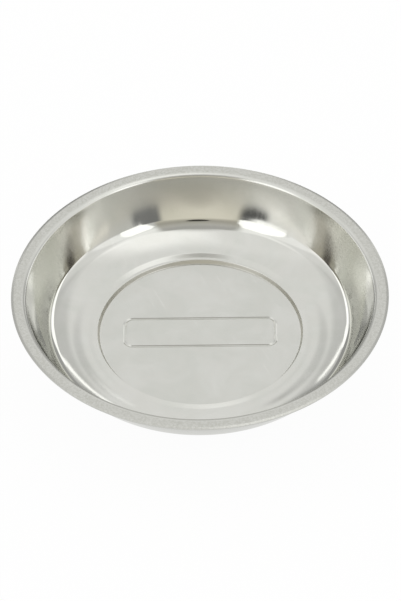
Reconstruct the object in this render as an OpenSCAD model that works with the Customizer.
// Round magnetic parts tray: a pressed steel dish on a ring magnet in a rubber boot.
// Millimetres. +Z is up and the origin is the centre of the foot's underside.

/* [Dish] */
// Outside diameter of the rim
rim_d = 150; // [140:1:200]
// Width of the lip, from the rim edge to the line where the wall would meet it
lip_w = 5.5; // [4:0.1:9]
// Width of the dipped edge at the outside of the lip
edge_w = 1; // [0.6:0.1:1.6]
// Dip of that edge, in degrees
edge_dip = 12; // [5:1:25]
// Depth from the lip to the sunk centre disc
dish_depth = 23.6; // [18:0.1:34]
// Lean of the wall from upright below the lip, in degrees
wall_lean = 22; // [15:0.5:30]
// Further lean of the wall above its foot, in degrees
wall_bow = 9; // [4:0.5:12]
// Slope of the floor beside the sunk centre, in degrees
floor_slope = 6; // [2:0.5:12]
// Further slope of the floor beside the wall, in degrees
floor_bow = 8; // [3:0.5:10]
// Thickness of the steel sheet
sheet_t = 0.7; // [0.4:0.05:1]
// Inside radius of the bend from the wall to the lip
lip_bend = 1.3; // [1:0.1:3]
// Slope of the lip's soft inner margin, in degrees
roll_slope = 14; // [8:1:20]
// Inside radius of the bend from that margin to the flat of the lip
roll_bend = 5.3; // [3:0.1:8]
// Inside radius of the bend from the floor to the wall
foot_bend = 6.6; // [3:0.1:9]

/* [Sunk centre] */
// Diameter of the sunk disc, out to the foot of its step
centre_d = 80.8; // [70:0.1:84]
// Height of the step around the disc
centre_step = 1.45; // [1:0.05:2]
// Slope of the step, in degrees
step_slope = 61; // [40:1:70]
// Width of the level land around the step
land_w = 1.8; // [1:0.05:2.4]
// Width of the shoulder between the land and the floor
shoulder_w = 2.2; // [1.6:0.1:4]
// Slope of the shoulder over that of the floor, in degrees
shoulder_extra = 10; // [4:1:12]
// Inside radius of the bends at the foot and the top of the step
step_bend = 0.3; // [0.2:0.1:0.6]
// Inside radius of the other small bends
small_bend = 0.8; // [0.3:0.1:1]

/* [Panel] */
// Shift of the blank panel from the disc's centre, towards the back
panel_shift = 1.5; // [0:0.1:4]
// Length of the blank panel pressed into the disc
panel_w = 62; // [40:1:66]
// Width of the panel
panel_h = 17; // [10:0.5:20]
// Corner radius of the panel
panel_corner = 4; // [2.5:0.5:4.5]
// Width of the panel's sunk border line
panel_line = 1.4; // [0.8:0.1:2]
// Depth of the border line
panel_depth = 0.25; // [0.1:0.05:0.3]

/* [Magnet] */
// Outside diameter of the ring magnet
magnet_d = 70; // [66:1:76]
// Diameter of the hole in the magnet
magnet_bore = 32; // [28:0.5:36]
// Thickness of the magnet
magnet_t = 10; // [8:0.5:15]
// Chamfer on the magnet's edges
magnet_chamfer = 0.8; // [0.6:0.1:1.5]

/* [Rubber boot] */
// Thickness of the boot's floor, under the clamp cup
boot_floor_t = 2; // [1.5:0.1:4]
// Thickness of the boot's side
boot_side_t = 2; // [1.2:0.1:4]
// Thickness of the boot's inner lip, under the dish
boot_lip_t = 1; // [0.6:0.1:2]
// Reach of that lip over the magnet
boot_lip_w = 4; // [2:0.1:6]
// Diameter of the opening to the nut
boot_hole_d = 27; // [20:0.5:28]
// Radius of the boot's lower outside edge
boot_round = 1.5; // [0.5:0.1:1.8]
// Radius of the boot's other edges
boot_soft = 0.4; // [0.2:0.1:0.45]
// Number of grip grooves in the underside
groove_n = 4; // [1:1:5]
// Width of a grip groove
groove_w = 1.2; // [0.6:0.1:1.8]
// Depth of a grip groove
groove_depth = 0.7; // [0.3:0.1:1]

/* [Clamp cup] */
// Thickness of the clamp cup's sheet
cup_t = 1.2; // [0.8:0.1:1.6]
// Width of the clamp cup's flange under the magnet
cup_flange_w = 15; // [10:0.5:17]
// Inside radius of the clamp cup's bends
cup_bend = 0.5; // [0.3:0.1:0.6]

/* [Fastening] */
// Diameter of the stud
stud_d = 6; // [5:0.5:7]
// Diameter of the stud's welded flange
stud_flange_d = 13; // [10:0.5:16]
// Thickness of the stud's welded flange
stud_flange_t = 1.2; // [0.8:0.1:1.5]
// Length of stud showing below the nut
stud_proud = 0.8; // [0.5:0.1:1.5]
// Outside diameter of the flat washer
washer_d = 12; // [11:0.5:16]
// Thickness of the flat washer
washer_t = 1.6; // [1:0.1:1.8]
// Outside diameter of the spring washer
spring_d = 11; // [9.5:0.1:12]
// Thickness of the spring washer
spring_t = 1.6; // [1:0.1:1.8]
// Width of the slit in the spring washer
spring_slit = 1; // [0.6:0.1:1.5]
// Slant of that slit, in degrees
spring_slant = 20; // [0:1:30]
// Size of the nut across its flats
nut_af = 10; // [9:0.5:12]
// Thickness of the nut
nut_t = 3.2; // [2.5:0.1:4]

/* [Fit] */
// Play between a stretched or pressed part and what it holds
snug = 0.1; // [0.05:0.05:0.2]
// Play of a loose part
play = 0.3; // [0.15:0.05:0.5]
// Room between the clamp cup and the stud's flange
cup_room = 0.8; // [0.4:0.1:1]

/* [Hidden] */
$fn = 96;

// Overrun of a cut past the face that it opens
over = 1;
// Largest turn of one straight piece of a bend, in degrees
bend_step = 6;
// Least number of straight pieces in a bend
bend_least = 3;
// A quarter turn, in degrees
quarter = 90;

// Levels, from the foot up
z_foot = 0;
z_cup = z_foot + boot_floor_t;
z_magnet = z_cup + cup_t;
z_magnet_top = z_magnet + magnet_t;
z_under = z_magnet_top + boot_lip_t;
z_centre = z_under + sheet_t;
z_land = z_centre + centre_step;
z_lip = z_centre + dish_depth;

// Levels of the fastening, from the stud's flange down
z_web_top = z_under - stud_flange_t - cup_room;
z_web = z_web_top - cup_t;
z_washer = z_web - washer_t;
z_spring = z_washer - spring_t;
z_nut = z_spring - nut_t;
z_stud = z_nut - stud_proud;

// Bend points of the dish, from the sunk disc out to the shoulder
centre_r = centre_d / 2;
step_r = centre_r + centre_step / tan(step_slope);
land_r = step_r + land_w;
shoulder_r = land_r + shoulder_w;
z_shoulder = z_land + shoulder_w * tan(floor_slope + shoulder_extra);
shoulder_p = [shoulder_r, z_shoulder];

// Bend points of the lip; its soft margin is as long as the two bends at its ends need
rim_r = rim_d / 2;
lip_r = rim_r - lip_w;
margin_share = 1.1;
lip_tangent = (lip_bend + sheet_t) * tan((quarter - wall_lean - roll_slope) / 2);
roll_tangent = (roll_bend + sheet_t) * tan(roll_slope / 2);
margin_len = (lip_tangent + roll_tangent) * margin_share;
roll_r = lip_r + margin_len * cos(roll_slope);
lip_p = [lip_r, z_lip - margin_len * sin(roll_slope)];
z_edge = z_lip - edge_w * tan(edge_dip);

// Floor and wall at their mean slopes give the rough place of the foot, and each bows about half-way to it
floor_share = 0.44;
wall_share = 0.46;
rough_p = meeting(shoulder_p, floor_slope + floor_bow / 2, lip_p, wall_lean + wall_bow / 2);
floor_run = (rough_p[0] - shoulder_r) * floor_share;
floor_p = shoulder_p + [floor_run, floor_run * tan(floor_slope)];
wall_drop = (lip_p[1] - rough_p[1]) * wall_share;
wall_p = lip_p - [wall_drop * tan(wall_lean), wall_drop];
foot_p = meeting(floor_p, floor_slope + floor_bow, wall_p, wall_lean + wall_bow);

// The foot's bend is limited by its floor, and each bow takes most of the length that its neighbours leave
foot_share = 0.6;
bow_share = 0.92;
foot_half = (quarter - wall_lean - wall_bow - floor_slope - floor_bow) / 2;
foot_tangent = min(foot_bend * tan(foot_half), norm(foot_p - floor_p) * foot_share);
foot_fit = foot_tangent / tan(foot_half);
floor_bow_r = min(norm(floor_p - shoulder_p), norm(foot_p - floor_p) - foot_tangent) * bow_share
    / tan(floor_bow / 2);
wall_bow_r = min(norm(lip_p - wall_p) - lip_tangent, norm(wall_p - foot_p) - foot_tangent) * bow_share
    / tan(wall_bow / 2);

// Radii of the parts under the dish
magnet_r = magnet_d / 2;
bore_r = magnet_bore / 2;
boot_in_r = magnet_r + snug;
boot_r = boot_in_r + boot_side_t;
boot_lip_r = magnet_r - boot_lip_w;
boot_hole_r = boot_hole_d / 2;
cup_r = bore_r - play;
flange_r = cup_r + cup_flange_w;
pocket_r = flange_r + play;
stud_r = stud_d / 2;
nut_r = nut_af / 2;
// Half the angle between two corners of a hexagon
hex_half = 30;
nut_corner_r = nut_r / cos(hex_half);
// The nut's chamfer cone starts at the flats and runs out past the corners
chamfer_angle = 30;
chamfer_share = 1.4;
chamfer_r = nut_r + (nut_corner_r - nut_r) * chamfer_share;
chamfer_h = (chamfer_r - nut_r) * tan(chamfer_angle);
// Countersink at each end of the nut's thread
thread_share = 0.15;
thread_sink = stud_r * thread_share;

// Bends of the dish, as [point on the upper side, inside radius], from the axis to the rim edge
dish_bends = [
    [[0, z_centre], 0],
    [[centre_r, z_centre], step_bend],
    [[step_r, z_land], step_bend],
    [[land_r, z_land], small_bend],
    [shoulder_p, small_bend],
    [floor_p, floor_bow_r],
    [foot_p, foot_fit],
    [wall_p, wall_bow_r],
    [lip_p, lip_bend],
    [[roll_r, z_lip], roll_bend],
    [[rim_r - edge_w, z_lip], small_bend],
    [[rim_r, z_edge], 0]
];

// Bends of the clamp cup, from the stud's hole to the flange's edge
cup_bends = [
    [[stud_r + play, z_web_top], 0],
    [[cup_r, z_web_top], cup_bend],
    [[cup_r, z_magnet], cup_bend],
    [[flange_r, z_magnet], 0]
];

// Corners of the boot's section, as [point, radius]
boot_corners = [
    [[boot_hole_r, z_foot], boot_soft],
    [[boot_r, z_foot], boot_round],
    [[boot_r, z_under], boot_soft],
    [[boot_lip_r, z_under], 0],
    [[boot_lip_r, z_magnet_top], 0],
    [[boot_in_r, z_magnet_top], 0],
    [[boot_in_r, z_magnet], 0],
    [[pocket_r, z_magnet], 0],
    [[pocket_r, z_cup], 0],
    [[boot_hole_r, z_cup], boot_soft]
];

// Where a line up from a at a slope meets a line down from b at a lean from upright
function meeting(a, slope, b, lean) =
    let (r = (b[0] - (b[1] - a[1] + a[0] * tan(slope)) * tan(lean)) / (1 - tan(slope) * tan(lean)))
    [r, a[1] + (r - a[0]) * tan(slope)];
// A vector at length one
function unit(v) = v / norm(v);
// A vector after a quarter turn clockwise
function right_of(v) = [v[1], -v[0]];
// A vector after a turn by an angle
function turned(v, angle) = [v[0] * cos(angle) - v[1] * sin(angle), v[0] * sin(angle) + v[1] * cos(angle)];
// Whether the path a, b, c turns to the left at b
function goes_left(a, b, c) = (b[0] - a[0]) * (c[1] - b[1]) - (b[1] - a[1]) * (c[0] - b[0]) > 0;
// The corner b of the path a, b, c, moved to the right of the path by a gap
function moved(a, b, c, gap) =
    let (n = right_of(unit(b - a)), m = right_of(unit(c - b)))
    b + (n + m) * gap / (1 + n * m);

// Points of a round corner at b on the path a, b, c
function round_corner(a, b, c, radius) =
    radius == 0 ? [b] :
    let (
        u = unit(a - b),
        v = unit(c - b),
        inside = acos(u * v),
        centre = b + unit(u + v) * radius / sin(inside / 2),
        side = goes_left(a, b, c) ? 1 : -1,
        start = right_of(unit(b - a)) * side * radius,
        steps = max(bend_least, ceil((2 * quarter - inside) / bend_step))
    )
    [for (i = [0 : steps]) centre + turned(start, side * (2 * quarter - inside) * i / steps)];

// Bend points of a sheet, moved to the right of its path by a gap
function side_corners(bends, gap) =
    let (last = len(bends) - 1)
    [for (i = [0 : last])
        i == 0 ? bends[i][0] + right_of(unit(bends[i + 1][0] - bends[i][0])) * gap :
        i == last ? bends[i][0] + right_of(unit(bends[i][0] - bends[i - 1][0])) * gap :
        moved(bends[i - 1][0], bends[i][0], bends[i + 1][0], gap)];

// One side of a bent sheet; the radius grows on the outside of each bend
function sheet_side(bends, t, gap) =
    let (p = side_corners(bends, gap), last = len(bends) - 1)
    [for (i = [0 : last])
        each i == 0 || i == last ? [p[i]] :
        round_corner(p[i - 1], p[i], p[i + 1],
            bends[i][1] + (goes_left(p[i - 1], p[i], p[i + 1]) ? gap : t - gap))];

// Section of a bent sheet, which lies to the right of its path
function sheet_section(bends, t) =
    let (under = sheet_side(bends, t, t), last = len(under) - 1)
    concat(sheet_side(bends, t, 0), [for (i = [last : -1 : 0]) under[i]]);

// Outline with rounded corners
function soft_outline(corners) =
    let (n = len(corners))
    [for (i = [0 : n - 1])
        each round_corner(corners[(i + n - 1) % n][0], corners[i][0], corners[(i + 1) % n][0], corners[i][1])];

// Plain rectangle with round corners, about the origin
module soft_rectangle(w, h, radius) {
    square([w, h - 2 * radius], center = true);
    square([w - 2 * radius, h], center = true);
    for (x = [-1, 1], y = [-1, 1])
        translate([x * (w / 2 - radius), y * (h / 2 - radius)])
            circle(r = radius);
}

// Border line of the panel, cut into the upper face of the sunk disc
module panel_border() {
    translate([0, panel_shift, z_centre - panel_depth])
        linear_extrude(panel_depth + over)
            difference() {
                soft_rectangle(panel_w, panel_h, panel_corner);
                soft_rectangle(panel_w - 2 * panel_line, panel_h - 2 * panel_line, panel_corner - panel_line);
            }
}

// Pressed stainless dish
module dish() {
    color("Silver")
        difference() {
            rotate_extrude()
                polygon(sheet_section(dish_bends, sheet_t));
            panel_border();
        }
}

// Flanged stud, welded under the middle of the dish
module weld_stud() {
    lead = stud_r - thread_sink * 2;
    color("Gainsboro")
        rotate_extrude()
            polygon([
                [0, z_under],
                [stud_flange_d / 2, z_under],
                [stud_flange_d / 2, z_under - stud_flange_t],
                [stud_r, z_under - stud_flange_t],
                [stud_r, z_stud + stud_r - lead],
                [lead, z_stud],
                [0, z_stud]
            ]);
}

// Thin ring between the magnet and the dish, inside the boot's lip
module gasket() {
    color("DimGray")
        rotate_extrude()
            polygon([
                [bore_r + magnet_chamfer, z_magnet_top],
                [boot_lip_r - play, z_magnet_top],
                [boot_lip_r - play, z_under],
                [bore_r + magnet_chamfer, z_under]
            ]);
}

// Ferrite ring with chamfered edges
module ring_magnet() {
    color("DarkSlateGray")
        rotate_extrude()
            polygon([
                [bore_r + magnet_chamfer, z_magnet],
                [magnet_r - magnet_chamfer, z_magnet],
                [magnet_r, z_magnet + magnet_chamfer],
                [magnet_r, z_magnet_top - magnet_chamfer],
                [magnet_r - magnet_chamfer, z_magnet_top],
                [bore_r + magnet_chamfer, z_magnet_top],
                [bore_r, z_magnet_top - magnet_chamfer],
                [bore_r, z_magnet + magnet_chamfer]
            ]);
}

// Pressed plate that clamps the magnet and takes the nut
module clamp_cup() {
    color("LightSteelBlue")
        rotate_extrude()
            polygon(sheet_section(cup_bends, cup_t));
}

// Plain washer under the clamp cup's web
module flat_washer() {
    color("LightGray")
        translate([0, 0, z_washer])
            difference() {
                cylinder(d = washer_d, h = washer_t);
                translate([0, 0, -over])
                    cylinder(r = stud_r + play, h = washer_t + 2 * over);
            }
}

// Split spring washer, pressed flat
module spring_washer() {
    color("SlateGray")
        translate([0, 0, z_spring])
            difference() {
                cylinder(d = spring_d, h = spring_t);
                translate([0, 0, -over])
                    cylinder(r = stud_r + snug, h = spring_t + 2 * over);
                translate([0, 0, spring_t / 2])
                    rotate([spring_slant, 0, 0])
                        translate([0, -spring_slit / 2, -spring_t - over])
                            cube([spring_d, spring_slit, 2 * (spring_t + over)]);
            }
}

// Thin hexagon nut with chamfered corners
module hex_nut() {
    color("WhiteSmoke")
        translate([0, 0, z_nut])
            difference() {
                intersection() {
                    cylinder(r = nut_corner_r, h = nut_t, $fn = 6);
                    rotate_extrude()
                        polygon([
                            [0, 0],
                            [nut_r, 0],
                            [chamfer_r, chamfer_h],
                            [chamfer_r, nut_t - chamfer_h],
                            [nut_r, nut_t],
                            [0, nut_t]
                        ]);
                }
                rotate_extrude()
                    polygon([
                        [0, -over],
                        [stud_r + thread_sink + over, -over],
                        [stud_r + snug, thread_sink - snug],
                        [stud_r + snug, nut_t - thread_sink + snug],
                        [stud_r + thread_sink + over, nut_t + over],
                        [0, nut_t + over]
                    ]);
            }
}

// Moulded rubber cover around the magnet, with grip grooves in its underside
module rubber_boot() {
    flat_in = boot_hole_r + boot_soft;
    pitch = (boot_r - boot_round - flat_in) / (groove_n + 1);
    color("DimGray")
        rotate_extrude()
            difference() {
                polygon(soft_outline(boot_corners));
                for (i = [1 : groove_n])
                    translate([flat_in + i * pitch - groove_w / 2, -over])
                        square([groove_w, groove_depth + over]);
            }
}

dish();
weld_stud();
gasket();
ring_magnet();
clamp_cup();
flat_washer();
spring_washer();
hex_nut();
rubber_boot();
